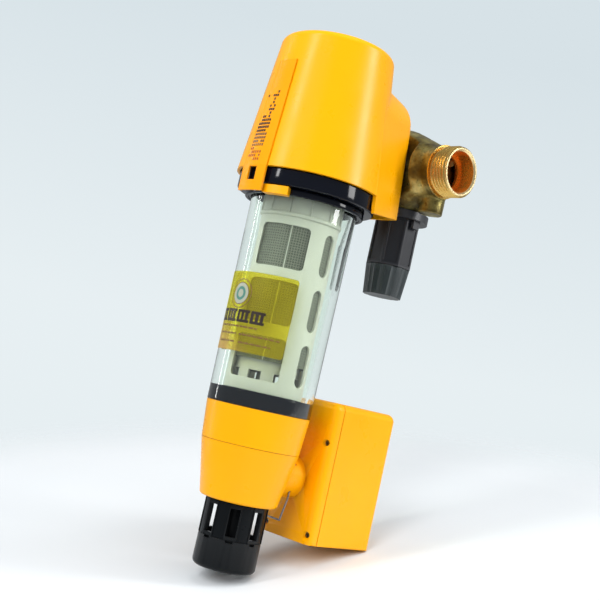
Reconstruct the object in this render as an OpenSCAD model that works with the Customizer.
// Backwash water filter: clear bowl under a cap, pipe ports and a pressure regulator at the back,
// and a drain valve at the foot that a geared motor box turns.
// Z runs up the bowl axis from the drain outlet, the badge faces -Y and the pipe runs along X.

/* [Bowl] */
// Outside radius of the clear bowl at its lower end
bowl_r = 32.2; // [31.8:0.1:32.6]
// Wall thickness of the clear bowl
bowl_wall = 5; // [4.8:0.1:5.2]
// Height of clear bowl that shows between the collar and the service ring
view_h = 127.1; // [126:0.1:129]

/* [Cap] */
// Outside radius of the cap at its rim
cap_r = 45.8; // [45.6:0.1:47]
// Outside radius of the cap just under its top
cap_top_r = 35.8; // [34:0.1:37]
// Height of the cap from rim to top
cap_h = 89.6; // [88:0.1:94]
// Wall thickness of the cap
cap_wall = 2; // [1.8:0.1:2.2]
// Half width of the badge at the rim
badge_w0 = 10.4; // [9:0.1:11]
// Half width of the badge at its upper end
badge_w1 = 7.5; // [7:0.1:8]

/* [Pipe ports] */
// Radius over the pipe thread, G1
thread_r = 16.62; // [16.5:0.01:16.7]
// Radius of the hole in the port ends
port_bore_r = 13.2; // [12.8:0.1:13.4]
// Distance from the middle of the body to a port's end
port_reach = 55.2; // [54:0.1:58]
// Length of one pipe thread
thread_l = 11.4; // [10:0.1:12]

/* [Foot] */
// Height of the drain cup
cup_h = 19.2; // [19:0.1:20.5]
// Height of the slotted cage that shows
cage_h = 22; // [21.5:0.1:22.5]
// Height of the base cover
cover_h = 34.1; // [33.6:0.1:34.8]
// Height of the collar above it
collar_h = 22.6; // [22:0.1:23]
// Number of slots in the drain cage
cage_slots = 8; // [8:2:10]

/* [Drive box] */
// Width of the drive box
box_w = 44; // [44:0.5:48]
// Height of the drive box
box_h = 89.5; // [89:0.5:94]
// Depth of the drive box
box_d = 58.5; // [58:0.5:62]

/* [Hidden] */
$fn = 64;
eps = 0.01;
gap = 0.3;
fit = 0.05;

// levels up the column
z_ledge = cup_h;
z_cage = z_ledge + cage_h;
z_seam = z_cage + cover_h;
z_band = z_seam + collar_h;
z_lip = z_band + view_h;
lip_h = 4.2;
z_step = z_lip + lip_h;
lock_h = 10.2;
z_rim = z_step + lock_h;
z_top = z_rim + cap_h;

// bowl
bowl_draft = 1.2;
bowl_top_r = bowl_r + bowl_draft;
bowl_ri = bowl_r - bowl_wall;
spigot_r = bowl_r - 2.7;
spigot_h = 13.6;
flange_r = 37.6;
flange_z = z_step + 3.2;
flange_h = 5.7;
flange_top = flange_z + flange_h;
seal_r = 1.1;

// lock ring and service ring
lock_r = 43.4;
lock_up_r = 41.4;
lock_bore = 38.9;
skirt_r = 35.4;
ring_r = flange_r;
pointer_a0 = -79.5;
pointer_a1 = -57;
pointer_drop = 1.4;

// head and neck
head_r = lock_bore - gap;
head_z = flange_top + 2.3;
head_in = 30.5;
port_z = z_rim + 33.4;
port_y = 75.9;
neck_r = 15;
neck_in = 13.2;
neck_end = 59.5;
face_y = 61.8;
tube_r = 9.5;
tube_in = 8;
bolt_ring = 17.4;
port_groove = 1.6;

// cap tunnel over the neck
tun_w = 23.5;
tun_arch = 22.5;
tun_arch_z = port_z + 20.2;
tun_y0 = 61;
tun_y1 = 55.5;
tan_a = 22.5;
tan_y = cap_r * sin(tan_a);
tun_low0 = z_rim - 11;
tun_low1 = z_rim - 3.9;
hull_fn = 32;

// regulator
reg_y = 86.3;
reg_flat = 14.7;
reg_z0 = z_rim - 50.4;
reg_z1 = reg_z0 + 20.2;
reg_z2 = reg_z1 + 32.6;
reg_z3 = reg_z2 + 5.4;
spring_z0 = reg_z1 + 13;
spring_z1 = reg_z2 - 3;
spring_turns = 6;
spring_wire = 1;
spring_pitch_r = 8.4;

// filter element
frame_r = 24.5;
mesh_r = 22.9;
win_rows = 3;
win_pitch = 34.1;
win_h = 26;
win_z0 = 115.3;
win_a = -62;
slot_a = 10;
frame_z0 = z_band + 10;
rotor_z0 = frame_z0 + 0.4;
frame_z1 = head_z + 4;

// drain valve
stem_z = z_cage + 19.3;
ball_r = 11;
ball_bore = 6.5;
stem_r = 4;
stub_r = 13.5;
stub_end = 39.2;
valve_r = 17;
nozzle_z = z_ledge + 0.6;
boss_r = 8;
sleeve_r = 10.6;
clip_y = 31.2;
clip_x = 9.9;
clip_wire = 0.6;
clip_low = z_cage - 7.8;
clip_x1 = 6.8;
clip_knee = stem_z - 13.5;

// drive box
box_x = 3;
box_y = 41.5;
box_z = z_cage - 18.7;
box_split = 7.8;
box_wall = 2.2;
box_round = 5;
gear_m = 0.7;
teeth_out = 42;
teeth_mid = 34;
teeth_pin = 12;
mid_z = stem_z + gear_m * (teeth_out + teeth_pin) / 2;
pin_z = mid_z + gear_m * (teeth_mid + teeth_pin) / 2;
gear_y0 = 50.4;
gear_y1 = 55.2;
gear_y2 = 59.2;
plate_y = 60;
plate_t = 1.6;
motor_l = 25;
post_x = [-9, 15];
post_z = [stem_z - 31, pin_z + 9];
screw_x0 = -15.5;
screw_x1 = 21.5;
screw_z0 = box_z + 6;
screw_z1 = box_z + 63.9;
button_r = 5;
display_z = box_z + 66;

// ---- shared shapes ----

module pipe(ro, ri, z0, z1) {
  translate([0, 0, z0])
    difference() {
      cylinder(h = z1 - z0, r = ro);
      translate([0, 0, -1])
        cylinder(h = z1 - z0 + 2, r = ri);
    }
}

module rod_y(r, y0, y1, x = 0, z = 0) {
  translate([x, y0, z])
    rotate([-90, 0, 0])
      cylinder(h = y1 - y0, r = r);
}

module rod_x(r, x0, x1, y = 0, z = 0) {
  translate([x0, y, z])
    rotate([0, 90, 0])
      cylinder(h = x1 - x0, r = r);
}

module torus_z(rc, rs, z) {
  translate([0, 0, z])
    rotate_extrude()
      translate([rc, 0])
        circle(r = rs, $fn = 24);
}

module sector(a0, a1, r, z0, z1) {
  mid = (a0 + a1) / 2;
  translate([0, 0, z0])
    linear_extrude(z1 - z0)
      polygon([[0, 0], [r * cos(a0), r * sin(a0)], [r * cos(mid) * 1.2, r * sin(mid) * 1.2],
        [r * cos(a1), r * sin(a1)]]);
}

function arc(cx, cy, r, a0, a1, n = 6) =
  [for (i = [0:n]) [cx + r * cos(a0 + (a1 - a0) * i / n), cy + r * sin(a0 + (a1 - a0) * i / n)]];

// ---- cap ----

function cap_at(z) = cap_r - (cap_r - cap_top_r) * (z - z_rim) / cap_h;

module cap_cone(inset, z0, z1, round_r) {
  r0 = cap_at(max(z0, z_rim)) - inset;
  r1 = cap_at(z1) - inset;
  rotate_extrude()
    polygon(concat([[0, z0], [r0, z0]], arc(r1 - round_r, z1 - round_r, round_r, 6, 90), [[0, z1]]));
}

module tunnel(inset, reach) {
  w = tun_w - inset - reach * 0.2;
  hull() {
    translate([0, 0, z_rim])
      cylinder(h = cap_h - 10, r1 = cap_r - inset, r2 = cap_at(z_top - 10) - inset, $fn = hull_fn);
    translate([0, 0, z_rim - 16])
      cylinder(h = 16, r = cap_r - inset, $fn = hull_fn);
    translate([-w, tun_y0 - 2 + reach, z_rim - 16])
      cube([2 * w, 2, 1]);
    translate([0, tun_y1 - 2 + reach, tun_arch_z])
      rotate([-90, 0, 0])
        cylinder(h = 2, r = tun_arch - inset, $fn = 48);
  }
}

module head_cap() {
  color("gold")
    difference() {
      union() {
        cap_cone(0, z_rim, z_top, 5);
        tunnel(0.02, 0);
      }
      cap_cone(cap_wall, z_rim - 1, z_top - cap_wall, 4);
      tunnel(cap_wall, 3);
      translate([-60, -60, z_rim - 20])
        cube([120, 60 + tan_y, 20]);
      translate([-60, 0, 0])
        rotate([90, 0, 90])
          linear_extrude(120)
            polygon([[tan_y - 1, z_rim - 20], [tan_y - 1, tun_low0], [tun_y0 + 2, tun_low1],
              [tun_y0 + 2, z_rim - 20]]);
    }
}

module badge() {
  low = z_step - 5.6;
  high = z_rim + 68.6;
  skin = 1.25;
  color("goldenrod")
    difference() {
      intersection() {
        union() {
          translate([0, 0, low])
            cylinder(h = z_rim - low + eps, r = cap_r + skin);
          translate([0, 0, z_rim])
            cylinder(h = high - z_rim, r1 = cap_r + skin, r2 = cap_at(high) + skin);
        }
        translate([0, -30, 0])
          rotate([90, 0, 0])
            linear_extrude(30)
              polygon([[-badge_w0, low], [badge_w0, low], [badge_w0, z_rim], [badge_w1, high],
                [-badge_w1, high], [-badge_w0, z_rim]]);
      }
      translate([0, 0, low - 1])
        cylinder(h = z_rim - low + 1 + eps, r = cap_r + fit);
      translate([0, 0, z_rim])
        cylinder(h = high - z_rim + eps, r1 = cap_r + fit, r2 = cap_at(high) + fit);
      translate([-3.3, -60, z_rim - 9.4])
        cube([6.6, 30, 8.2]);
    }
}

// ---- lock ring and service ring ----

module lock_ring() {
  color("black")
    rotate_extrude()
      polygon([[33.9, z_step - 3.7], [skirt_r, z_step - 3.7], [skirt_r, z_step], [lock_r - 1.2, z_step],
        [lock_r, z_step + 1.2], [lock_r, z_rim - 0.4], [lock_up_r, z_rim - 0.4],
        [lock_up_r, z_rim + 11], [lock_bore, z_rim + 11], [lock_bore, flange_z], [33.9, flange_z]]);
}

module service_ring() {
  color("black")
    rotate_extrude()
      polygon([[skirt_r + fit, z_lip], [ring_r - 0.8, z_lip], [ring_r, z_lip + 0.8],
        [ring_r, z_step - gap], [skirt_r + fit, z_step - gap]]);
}

module service_pointer() {
  color("gold")
    intersection() {
      pipe(lock_r - 0.1, ring_r + 0.02, z_lip - pointer_drop, z_step - gap - 0.2);
      sector(pointer_a0, pointer_a1, 60, z_lip - 5, z_step);
    }
}

// ---- head, ports and neck ----

module bolt_sites() {
  for (a = [45:90:315])
    translate([bolt_ring * cos(a), 0, port_z + bolt_ring * sin(a)])
      children();
}

module head_body() {
  dome = port_z + 22;
  color("darkkhaki")
    difference() {
      union() {
        rotate_extrude()
          polygon([[0, head_z], [head_r, head_z], [head_r, z_rim + 14], [34.5, z_rim + 17],
            [34.5, dome - 8], [28, dome], [0, dome]]);
        rod_y(neck_r, 20, neck_end, 0, port_z);
        translate([0, neck_end - 6, port_z])
          rotate([-90, 0, 0])
            cylinder(h = 6, r = 20.2);
      }
      rotate_extrude()
        polygon([[0, head_z - 1], [head_in, head_z - 1], [head_in, dome - 11], [25, dome - 4],
          [0, dome - 4]]);
      rod_y(neck_in, 0, neck_end + 1, 0, port_z);
      bolt_sites()
        rod_y(1.7, neck_end - 7, neck_end + 1);
    }
}

module clean_tube() {
  low = frame_z1 + 0.2;
  color("whitesmoke")
    difference() {
      union() {
        translate([0, 0, low])
          cylinder(h = port_z - low, r = tube_r);
        translate([0, 0, port_z])
          sphere(r = tube_r);
        rod_y(tube_r, 0, 74, 0, port_z);
      }
      translate([0, 0, low - 1])
        cylinder(h = port_z - low + 1, r = tube_in);
      translate([0, 0, port_z])
        sphere(r = tube_in);
      rod_y(tube_in, 0, 75, 0, port_z);
    }
}

module port_half(s) {
  mirror([s, 0, 0]) {
    rod_x(thread_r, port_reach - thread_l, port_reach - 1, port_y, port_z);
    translate([port_reach - 1, port_y, port_z])
      rotate([0, 90, 0])
        cylinder(h = 1, r1 = thread_r, r2 = thread_r - 1);
    rod_x(thread_r - 1.4, 30, port_reach - thread_l + eps, port_y, port_z);
    rod_x(thread_r + 0.9, 20, port_reach - thread_l - port_groove, port_y, port_z);
    translate([16, port_y, port_z])
      rotate([0, 90, 0])
        cylinder(h = 20, r1 = 26, r2 = thread_r + 0.9);
    translate([33, port_y + 3.6, port_z - 27.8])
      cylinder(h = 22, r = 8);
  }
}

module port_body() {
  outer = 27.5;
  color("darkkhaki")
    difference() {
      union() {
        translate([0, 80, port_z])
          sphere(r = 30);
        rod_y(22, face_y, face_y + 6, 0, port_z);
        for (s = [0, 1])
          port_half(s);
        translate([0, reg_y, reg_z3 + 0.2])
          cylinder(h = port_z - reg_z3, r = 17.6);
      }
      translate([-outer, 0, port_z - 40])
        cube([2 * outer, face_y, 80]);
      translate([-outer + 4, face_y - 5, port_z - 40])
        cube([2 * outer - 8, 60, reg_z3 + 0.2 - port_z + 40]);
      for (s = [0, 1])
        mirror([s, 0, 0])
          rod_x(port_bore_r, port_reach - 12, port_reach + 1, port_y, port_z);
      rod_x(port_bore_r - 2, 2, port_reach, port_y, port_z);
      rod_x(port_bore_r - 2, -port_reach, -10.8, port_y, port_z);
      rod_y(neck_in, face_y - 1, 63.4, 0, port_z);
      rod_y(tube_r + fit, 60, 75, 0, port_z);
      for (a = [155, 180, 205])
        rod_y(2.7, 62, 70, 13 * cos(a), port_z + 13 * sin(a));
      translate([0, reg_y, reg_z3 - 1])
        cylinder(h = 12, r = 12);
      translate([0, reg_y, reg_z3])
        cylinder(h = port_z - reg_z3 + 14, r = 6.5);
      bolt_sites()
        rod_y(1.7, face_y - 1, face_y + 7);
    }
}

module port_seal() {
  color("dimgray")
    difference() {
      rod_y(19.8, neck_end + 0.1, face_y - 0.1, 0, port_z);
      rod_y(neck_in, neck_end, face_y, 0, port_z);
      bolt_sites()
        rod_y(1.7, neck_end, face_y);
    }
}

module neck_bolts() {
  color("silver")
    bolt_sites()
      difference() {
        union() {
          rod_y(1.65, neck_end - 6.5, face_y + 6.5);
          rod_y(2.3, neck_end - 9, neck_end - 6.02);
        }
        translate([0, neck_end - 9.5, 0])
          rotate([-90, 0, 0])
            cylinder(h = 2.2, r = 1.3, $fn = 6);
      }
}

// ---- pressure regulator ----

module reg_collar() {
  color("black")
    translate([0, reg_y, 0])
      difference() {
        union() {
          translate([0, 0, reg_z2 + 0.1])
            cylinder(h = reg_z3 - reg_z2 - 0.1, r = 20.2);
          for (a = [0, 180])
            rotate(a)
              translate([15.4, -3, reg_z2 - 5.5])
                cube([2.2, 6, 6]);
        }
        translate([0, 0, reg_z2 - 1])
          cylinder(h = 10, r = 11.6);
      }
}

module reg_housing() {
  h = reg_z2 - reg_z1;
  corner_r = reg_flat / cos(22.5);
  color("dimgray")
    translate([0, reg_y, reg_z1])
      difference() {
        rotate(22.5)
          cylinder(h = h, r = corner_r, $fn = 8);
        translate([0, 0, 3])
          cylinder(h = h, r = 11.4);
        translate([0, 0, -1])
          cylinder(h = 5, r = 3.2);
        for (a = [0:45:315])
          rotate(a)
            translate([reg_flat - 0.5, -4.6, 2.4])
              cube([2, 9.2, h - 4.4]);
      }
}

module reg_knob() {
  h = reg_z1 - reg_z0 - gap;
  color("darkslategray")
    translate([0, reg_y, reg_z0])
      difference() {
        cylinder(h = h, r1 = 12.9, r2 = 14.8);
        translate([0, 0, h - 8])
          cylinder(h = 9, r = 11.8);
        translate([0, 0, h - 12])
          cylinder(h = 13, r = 2.5);
        for (a = [0:30:330])
          rotate(a)
            translate([16.2, 0, -1])
              rotate([0, 5.4, 0])
                cylinder(h = h + 3, r = 3.9);
      }
}

module reg_spindle() {
  low = reg_z1 - 11;
  color("silver")
    translate([0, reg_y, low]) {
      cylinder(h = spring_z0 + 6 - low, r = 2.45);
      translate([0, 0, reg_z1 + 3.2 - low])
        cylinder(h = 1.6, r = 5.5);
    }
}

module reg_nut() {
  color("goldenrod")
    translate([0, reg_y, spring_z0 - 3])
      difference() {
        cylinder(h = 3, r = 11.3);
        translate([0, 0, -1])
          cylinder(h = 5, r = 2.5);
      }
}

function coil_point(t, r, h, k, rs) =
  let (a = 360 * spring_turns * t, b = k * 60)
    [(r + rs * cos(b)) * cos(a), (r + rs * cos(b)) * sin(a), rs + (h - 2 * rs) * t + rs * sin(b)];

module reg_spring() {
  n = spring_turns * 20;
  h = spring_z1 - spring_z0;
  pts = [for (i = [0:n]) for (k = [0:5]) coil_point(i / n, spring_pitch_r, h, k, spring_wire)];
  sides = [for (i = [0:n - 1]) for (k = [0:5])
    [i * 6 + k, i * 6 + (k + 1) % 6, (i + 1) * 6 + (k + 1) % 6, (i + 1) * 6 + k]];
  ends = [[5, 4, 3, 2, 1, 0], [for (k = [0:5]) n * 6 + k]];
  color("lightgray")
    translate([0, reg_y, spring_z0])
      polyhedron(pts, concat(sides, ends), convexity = 8);
}

module reg_piston() {
  color("whitesmoke")
    translate([0, reg_y, 0]) {
      translate([0, 0, spring_z1])
        cylinder(h = 4, r = 11.3);
      translate([0, 0, spring_z1 + 4 - eps])
        cylinder(h = port_z - spring_z1 + 2, r = 2.6);
      translate([0, 0, port_z + 3])
        cylinder(h = 4, r = 6);
    }
}

// ---- bowl, seals and label ----

module bowl() {
  top_ri = bowl_ri + bowl_draft;
  color("lightcyan", 0.4)
    rotate_extrude()
      polygon([[bowl_ri, z_band - spigot_h], [spigot_r, z_band - spigot_h], [spigot_r, z_band + 0.2],
        [bowl_r, z_band + 0.2], [bowl_top_r, flange_z + 0.1], [flange_r, flange_z + 0.1],
        [flange_r, flange_top], [top_ri, flange_top], [bowl_ri, z_band + 4]]);
}

module bowl_seal_top() {
  color("dimgray")
    torus_z(33.6, seal_r, flange_top + seal_r + 0.05);
}

module bowl_seal_low() {
  color("dimgray")
    torus_z(bowl_ri - 0.05 - seal_r, seal_r, z_band + 4.5);
}

module label_film() {
  z0 = z_band + 31.1;
  z1 = z0 + 48;
  r0 = bowl_r + 0.35;
  color("goldenrod")
    intersection() {
      translate([0, 0, z0])
        difference() {
          cylinder(h = z1 - z0, r1 = r0 + 0.2, r2 = r0 + 0.65);
          translate([0, 0, -eps])
            cylinder(h = z1 - z0 + 2 * eps, r1 = r0 + 0.05, r2 = r0 + 0.5);
        }
      sector(-128, -27, 60, z0 - 1, z1 + 1);
    }
}

// ---- filter element ----

module frame_windows(half, a) {
  for (row = [0:win_rows - 1])
    for (turn = [0, 180])
      rotate(a + turn)
        translate([0, -half, win_z0 + row * win_pitch])
          cube([40, 2 * half, win_h]);
}

module filter_frame() {
  color("honeydew")
    difference() {
      union() {
        pipe(frame_r, mesh_r + 0.25, frame_z0, frame_z1 - 6);
        pipe(frame_r, 8.6, frame_z1 - 6.02, frame_z1);
        for (a = [0:30:330])
          rotate(a)
            translate([frame_r - 1.2, -0.5, frame_z1 - 28])
              cube([2.2, 1, 20]);
        pipe(25.6, frame_r - 0.1, frame_z1 - 30, frame_z1 - 27);
      }
      frame_windows(14.8, win_a);
      frame_windows(4.3, slot_a);
    }
}

module filter_mesh() {
  color("gray")
    pipe(mesh_r + 0.2, mesh_r, frame_z0 + 19.3, frame_z1 - 6.3);
}

module flush_rotor() {
  low = rotor_z0;
  color("honeydew") {
    pipe(6, 4.2, low, frame_z1 - 1.5);
    for (k = [0:4])
      rotate(k * 72)
        translate([5.6, -2, win_z0 + 8 + k * 19])
          cube([mesh_r - 8, 4, 9]);
    difference() {
      pipe(20, 17.6, low, low + 19);
      for (a = [0:45:315])
        rotate(a - 17.5)
          translate([10, -3.9, low - 1])
            cube([14, 7.8, 13.2]);
    }
    for (a = [0:60:300])
      rotate(a)
        translate([5.6, -1, low + 13])
          cube([12.4, 2, 4]);
  }
}

module rotor_wipers() {
  color("dimgray")
    for (k = [0:4])
      rotate(k * 72)
        translate([mesh_r - 2.35, -1.2, win_z0 + 5 + k * 19])
          cube([1.9, 2.4, 15]);
}

// ---- foot ----

module seal_carrier() {
  groove = bowl_ri - 2.35;
  color("black")
    rotate_extrude()
      polygon([[21, z_band - 9.9], [bowl_ri - 0.2, z_band - 9.9], [bowl_ri - 0.2, z_band + 3.2],
        [groove, z_band + 3.2], [groove, z_band + 5.8], [bowl_ri - 0.2, z_band + 5.8],
        [bowl_ri - 0.2, z_band + 9], [bowl_ri - 1.2, z_band + 9.9], [21, z_band + 9.9]]);
}

module base_collar() {
  low_r = bowl_r - 1.8;
  color("gold")
    rotate_extrude()
      polygon([[spigot_r - 2.4, z_seam + 0.1], [low_r, z_seam + 0.1], [bowl_r, z_band],
        [spigot_r + 0.2, z_band], [spigot_r + 0.2, z_band - spigot_h - 0.2],
        [spigot_r - 2.4, z_band - spigot_h - 0.2]]);
}

module base_cover() {
  top_r = bowl_r - 1.8;
  low_r = 23.9;
  color("gold")
    difference() {
      union() {
        rotate_extrude()
          polygon(concat([[0, z_cage]], arc(low_r - 1.6, z_cage + 2, 2, -90, 0, 4),
            [[top_r, z_seam - 0.1], [0, z_seam - 0.1]]));
        rod_y(stub_r, 10, stub_end, 0, stem_z);
      }
      rotate_extrude()
        polygon([[0, z_cage + 2.4], [low_r - 2.4, z_cage + 3.4], [top_r - 2.2, z_seam],
          [0, z_seam]]);
      rod_y(sleeve_r + 0.25, 5, stub_end + 1, 0, stem_z);
      translate([0, 0, z_cage - 1])
        cylinder(h = 5, r = 19.5);
      for (s = [-1, 1])
        translate([s * clip_x, clip_y, stem_z - 16])
          cylinder(h = 32, r = clip_wire + 0.35);
    }
}

module valve_body() {
  color("dimgray")
    difference() {
      union() {
        translate([0, 0, stem_z - 15.4])
          cylinder(h = 31.4, r = valve_r);
        translate([0, 0, stem_z + 12])
          cylinder(h = z_band - 10 - stem_z - 12, r1 = valve_r, r2 = 25.6);
        translate([0, 0, nozzle_z])
          cylinder(h = stem_z - 15.4 - nozzle_z + eps, r = 8.6);
        rod_y(boss_r, 10, 36, 0, stem_z);
      }
      translate([0, 0, stem_z])
        sphere(r = ball_r + 0.3);
      translate([0, 0, stem_z + 8.6])
        cylinder(h = 5, r = 10);
      translate([0, 0, stem_z - 13.6])
        cylinder(h = 5, r = 10);
      translate([0, 0, nozzle_z - 1])
        cylinder(h = stem_z - nozzle_z + 1, r = 6.5);
      translate([0, 0, stem_z])
        cylinder(h = 14, r = 6.5);
      translate([0, 0, stem_z + 13.5])
        cylinder(h = z_band - 10 - stem_z - 13.4, r1 = 6.5, r2 = 22);
      rod_y(stem_r + fit, 5, 37, 0, stem_z);
      rod_y(5.6, 22, 31.4, 0, stem_z);
    }
}

module valve_seats() {
  color("white")
    for (s = [-1, 1])
      translate([0, 0, stem_z + s * 11 - 2.3])
        difference() {
          cylinder(h = 4.6, r = 9.8);
          translate([0, 0, -1])
            cylinder(h = 7, r = 6.5);
          translate([0, 0, 2.3 - s * 11])
            sphere(r = ball_r + 0.05);
        }
}

module valve_ball() {
  color("silver")
    translate([0, 0, stem_z])
      difference() {
        sphere(r = ball_r);
        rod_x(ball_bore, -ball_r - 1, ball_r + 1);
        translate([-1.6, ball_r - 3, -6])
          cube([3.2, 5, 12]);
      }
}

module valve_stem() {
  color("goldenrod")
    difference() {
      union() {
        translate([-1.5, ball_r - 2.8, stem_z - 3.4])
          cube([3, 3.6, 6.8]);
        rod_y(stem_r, ball_r + 0.6, 40, 0, stem_z);
        translate([-1.5, 39.9, stem_z - 3])
          cube([3, 3.4, 6]);
      }
      for (y = [23.8, 27.6])
        translate([0, y, stem_z])
          rotate([-90, 0, 0])
            difference() {
              cylinder(h = 2, r = 6);
              translate([0, 0, -1])
                cylinder(h = 4, r = 3.2);
            }
    }
}

module stem_seals() {
  color("dimgray")
    for (y = [24.8, 28.6])
      translate([0, y, stem_z])
        rotate([-90, 0, 0])
          torus_z(4.2, 0.95, 0);
}

module drain_cage() {
  rail = 19.2;
  slot_w = 6.2;
  color("black")
    difference() {
      union() {
        pipe(rail, rail - 2.6, z_ledge - 7.5, z_cage + 3.4);
        pipe(20.8, rail - 1.9, z_cage + 3.4 - eps, z_cage + 6);
        for (k = [0:cage_slots - 1])
          rotate(k * 360 / cage_slots - 41.5)
            translate([rail - 2, -slot_w / 2 - 0.9, z_ledge - 1])
              cube([2.2, slot_w + 1.8, cage_h + 0.4]);
      }
      for (k = [0:cage_slots - 1])
        rotate(k * 360 / cage_slots - 41.5)
          translate([10, -slot_w / 2, z_ledge + 2])
            cube([14, slot_w, cage_h - 5.2]);
      difference() {
        cylinder(h = z_ledge, r = 30);
        translate([0, 0, -1])
          cylinder(h = z_ledge + 2, r = 17.6);
      }
    }
}

module drain_cup() {
  cup_r = 19.4;
  edge = 3;
  bore = 12.5;
  color("black")
    difference() {
      rotate_extrude()
        polygon(concat([[bore, 0]], arc(cup_r - edge, edge, edge, -90, 0), [[cup_r, z_ledge - 0.2],
          [17.8, z_ledge - 0.2], [17.8, 12], [bore, 8]]));
      for (k = [0:cage_slots - 1])
        rotate(k * 360 / cage_slots - 41.5)
          translate([17, -2.2, z_ledge - 1.6])
            cube([5, 4.4, 3]);
    }
}

module wire_clip() {
  leg = [clip_x - clip_x1, clip_knee - clip_low];
  color("gray")
    translate([0, clip_y, 0])
      for (s = [0, 1])
        mirror([s, 0, 0]) {
          translate([clip_x, 0, clip_knee])
            cylinder(h = 22, r = clip_wire);
          translate([clip_x, 0, clip_knee])
            sphere(r = clip_wire + 0.02);
          translate([clip_x1, 0, clip_low])
            sphere(r = clip_wire + 0.02);
          translate([clip_x1, 0, clip_low])
            rotate([0, atan2(leg[0], leg[1]), 0])
              cylinder(h = norm(leg), r = clip_wire);
          rod_x(clip_wire, -eps, clip_x1, 0, clip_low);
        }
}

// ---- drive box ----

module box_shape(inset) {
  r = box_round - inset;
  hull() {
    for (x = [box_x - box_w / 2 + box_round, box_x + box_w / 2 - box_round])
      for (y = [box_y + box_round, box_y + box_d - box_round]) {
        translate([x, y, box_z + box_h - box_round])
          sphere(r = r, $fn = 32);
        translate([x, y, box_z + inset])
          cylinder(h = 1, r = r, $fn = 32);
      }
  }
}

module box_slab(y0, y1) {
  translate([box_x - box_w, y0, box_z - 5])
    cube([2 * box_w, y1 - y0, box_h + 10]);
}

module screw_sites() {
  for (x = [screw_x0, screw_x1])
    for (z = [screw_z0, screw_z1])
      translate([x, 0, z])
        children();
}

module box_cover() {
  split = box_y + box_split;
  color("orange")
    difference() {
      union() {
        difference() {
          intersection() {
            box_shape(0);
            box_slab(box_y - 1, split);
          }
          box_shape(box_wall);
        }
        intersection() {
          screw_sites()
            rod_y(3, box_y + 1, split);
          box_shape(0.5);
        }
        rod_y(sleeve_r, 24, box_y + 1, 0, stem_z);
      }
      rod_y(boss_r + 0.25, 20, 37, 0, stem_z);
      rod_y(stem_r + 0.3, 30, box_y + 5, 0, stem_z);
      screw_sites() {
        rod_y(1.7, box_y - 1, split + 1);
        rod_y(2.2, box_y - 1, box_y + 4.5);
      }
      for (s = [0, 1])
        mirror([s, 0, 0])
          translate([clip_x - clip_wire - 0.1, clip_y - 1.1, stem_z - 12])
            cube([3, 2.2, 24]);
    }
}

module box_gasket() {
  split = box_y + box_split;
  color("dimgray")
    difference() {
      intersection() {
        box_shape(0.4);
        box_slab(split + 0.02, split + 0.58);
      }
      box_shape(box_wall - 0.2);
    }
}

module box_body() {
  split = box_y + box_split + 0.6;
  back = box_y + box_d;
  color("gold")
    difference() {
      union() {
        difference() {
          intersection() {
            box_shape(0);
            box_slab(split, back + 1);
          }
          box_shape(box_wall);
        }
        intersection() {
          union() {
            screw_sites()
              rod_y(3, split, split + 9);
            for (x = post_x)
              for (z = post_z)
                rod_y(2.6, plate_y + plate_t, back - 1, x, z);
          }
          box_shape(0.5);
        }
      }
      screw_sites()
        rod_y(1.3, split - 1, split + 8);
      for (x = post_x)
        for (z = post_z)
          rod_y(1.25, plate_y, plate_y + 9, x, z);
      rod_y(button_r + gap, back - 4, back + 1, box_x, box_z + 40);
      translate([box_x - 12.3, back - 4, display_z - 8.3])
        cube([24.6, 6, 16.6]);
    }
}

module box_screws() {
  color("silver")
    screw_sites()
      difference() {
        union() {
          rod_y(1.25, box_y + 3, box_y + 15);
          rod_y(2, box_y + 2.2, box_y + 4.4);
        }
        translate([-0.4, box_y + 1.8, -1.5])
          cube([0.8, 1.4, 3]);
        translate([-1.5, box_y + 1.8, -0.4])
          cube([3, 1.4, 0.8]);
      }
}

// ---- gear train ----

function involute(rb, r) = let (a = acos(min(1, rb / r))) tan(a) * 180 / PI - a;

function flank(n, m, steps, slack) =
  let (rp = m * n / 2, rb = rp * cos(20), ro = rp + 0.9 * m, rs = max(rb, rp - 1.1 * m),
    half = 90 / n - slack / (2 * rp) * 180 / PI + involute(rb, rp))
    [for (i = [0:steps]) let (r = rs + (ro - rs) * i / steps) [r, half - involute(rb, r)]];

module gear(n, m, y0, y1, x, z, turn) {
  root = m * n / 2 - 1.2 * m;
  side = flank(n, m, 4, 0.16);
  last = len(side) - 1;
  foot = side[0][1];
  pts = [for (k = [0:n - 1]) for (q = concat(
    [[root, -foot]], [for (i = [0:last]) [side[i][0], -side[i][1]]],
    [for (i = [last:-1:0]) side[i]], [[root, foot]]))
    let (a = 360 * k / n + q[1]) [q[0] * cos(a), q[0] * sin(a)]];
  translate([x, y1, z])
    rotate([90, 0, 0])
      linear_extrude(y1 - y0)
        rotate(turn)
          polygon(pts);
}

module output_gear() {
  color("ivory")
    difference() {
      union() {
        gear(teeth_out, gear_m, gear_y0, gear_y1 - 0.6, 0, stem_z, 90);
        rod_y(5.4, box_y + 3, gear_y0 + 1, 0, stem_z);
        rod_y(3, gear_y0, plate_y + plate_t + 1.4, 0, stem_z);
        rod_y(stem_r, 40.4, box_y + 4, 0, stem_z);
      }
      translate([-1.55, 39, stem_z - 3.1])
        cube([3.1, 4.6, 6.2]);
    }
}

module middle_gear() {
  color("ivory")
    difference() {
      union() {
        gear(teeth_mid, gear_m, gear_y1, gear_y2 - 1, 0, mid_z, 90);
        gear(teeth_pin, gear_m, gear_y0 - 0.4, gear_y1 + 0.4, 0, mid_z, -90 + 180 / teeth_pin);
      }
      rod_y(1.25, gear_y0 - 2, gear_y2 + 1, 0, mid_z);
    }
}

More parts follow.
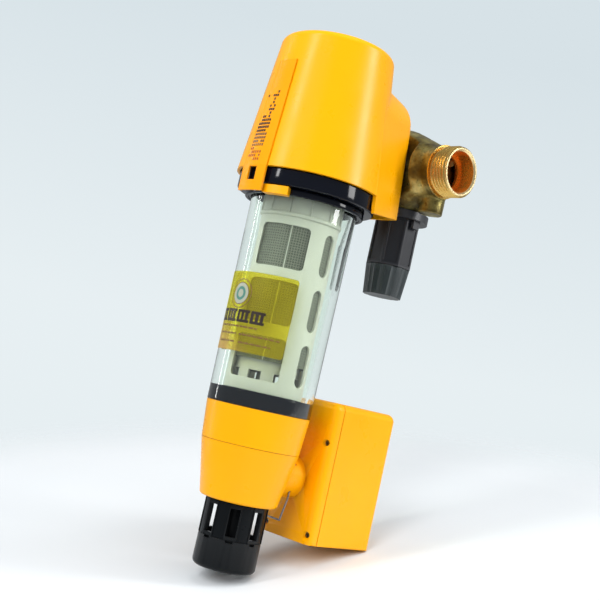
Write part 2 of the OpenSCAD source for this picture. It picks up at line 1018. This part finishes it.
module middle_pin() {
  color("silver")
    rod_y(1.2, gear_y0 - 3, plate_y + plate_t, 0, mid_z);
}

module motor_pinion() {
  color("goldenrod") {
    gear(teeth_pin, gear_m, gear_y1 - 0.4, gear_y2, 0, pin_z, -90 + 180 / teeth_pin);
    rod_y(1.1, gear_y1 - 1, plate_y + plate_t + 8, 0, pin_z);
  }
}

module motor_can() {
  y0 = plate_y + plate_t + 0.05;
  color("lightsteelblue")
    difference() {
      union() {
        intersection() {
          rod_y(10, y0, y0 + motor_l, 0, pin_z);
          translate([-15, y0, pin_z - 7.6])
            cube([30, motor_l, 15.2]);
        }
        rod_y(3, y0 + motor_l - eps, y0 + motor_l + 1.6, 0, pin_z);
        for (s = [-1, 1])
          translate([s * 7 - 0.3, y0 + motor_l - eps, pin_z - 1.2])
            cube([0.6, 4, 2.4]);
      }
      rod_y(1.15, y0 - 1, y0 + 9, 0, pin_z);
    }
}

module gear_plate() {
  color("darkgray")
    difference() {
      translate([-13, plate_y, post_z[0] - 3.6])
        cube([32, plate_t, post_z[1] - post_z[0] + 7.2]);
      rod_y(3.05, plate_y - 1, plate_y + 3, 0, stem_z);
      rod_y(1.2, plate_y - 1, plate_y + 3, 0, mid_z);
      rod_y(2.4, plate_y - 1, plate_y + 3, 0, pin_z);
      for (x = post_x)
        for (z = post_z)
          rod_y(1.3, plate_y - 1, plate_y + 3, x, z);
    }
}

module plate_screws() {
  color("silver")
    for (x = post_x)
      for (z = post_z)
        translate([x, 0, z])
          difference() {
            union() {
              rod_y(2.2, plate_y - 1.4, plate_y - 0.02);
              rod_y(1.2, plate_y - 1, plate_y + 6);
            }
            translate([-1.5, plate_y - 2, -0.3])
              cube([3, 1.2, 0.6]);
          }
}

module control_board() {
  y = box_y + box_d - 9;
  color("seagreen") {
    translate([box_x - 17, y, box_z + 28])
      cube([34, 1.6, 50]);
    for (k = [0:2])
      translate([box_x - 12 + k * 9, y - 2.2, box_z + 44])
        cube([6, 2.21, 8]);
    translate([box_x + 4, y - 5, box_z + 60])
      cube([8, 5.01, 6]);
    rod_y(3.2, y - 6, y + 0.01, box_x - 9, box_z + 62);
    translate([box_x - 3, y + 1.59, box_z + 37])
      cube([6, 3, 6]);
  }
}

module battery_cells() {
  color("steelblue")
    for (x = [box_x - 7.8, box_x + 7.8])
      translate([x, 76, box_z + 13.2]) {
        cylinder(h = 49, r = 7.1);
        cylinder(h = 50.4, r = 2.7);
      }
}

module battery_tray() {
  color("black")
    difference() {
      translate([box_x - 16.4, 68, box_z + 11.6])
        cube([32.8, 12, 53.4]);
      for (x = [box_x - 7.8, box_x + 7.8])
        translate([x, 76, box_z + 13])
          cylinder(h = 51, r = 7.35);
      for (z = [box_z + 21, box_z + 47])
        translate([box_x - 18, 72, z])
          cube([36, 10, 9]);
    }
}

module display_window() {
  color("black") {
    translate([box_x - 12, box_y + box_d - 3, display_z - 8])
      cube([24, 2.4, 16]);
    translate([box_x - 14, box_y + box_d - 3.6, display_z - 10])
      cube([28, 1.35, 20]);
  }
}

module flush_button() {
  back = box_y + box_d;
  color("dimgray") {
    rod_y(button_r, back - 2.1, back - 0.1, box_x, box_z + 40);
    rod_y(button_r + 1.4, back - 3.2, back - 2.5, box_x, box_z + 40);
    rod_y(button_r - 1, back - 2.6, back - 2, box_x, box_z + 40);
  }
}

head_cap();
badge();
lock_ring();
service_ring();
service_pointer();
head_body();
clean_tube();
port_body();
port_seal();
neck_bolts();
reg_collar();
reg_housing();
reg_knob();
reg_spindle();
reg_nut();
reg_spring();
reg_piston();
bowl();
bowl_seal_top();
bowl_seal_low();
label_film();
filter_frame();
filter_mesh();
flush_rotor();
rotor_wipers();
seal_carrier();
base_collar();
base_cover();
valve_body();
valve_seats();
valve_ball();
valve_stem();
stem_seals();
drain_cage();
drain_cup();
wire_clip();
box_cover();
box_gasket();
box_body();
box_screws();
output_gear();
middle_gear();
middle_pin();
motor_pinion();
motor_can();
gear_plate();
plate_screws();
control_board();
battery_cells();
battery_tray();
display_window();
flush_button();
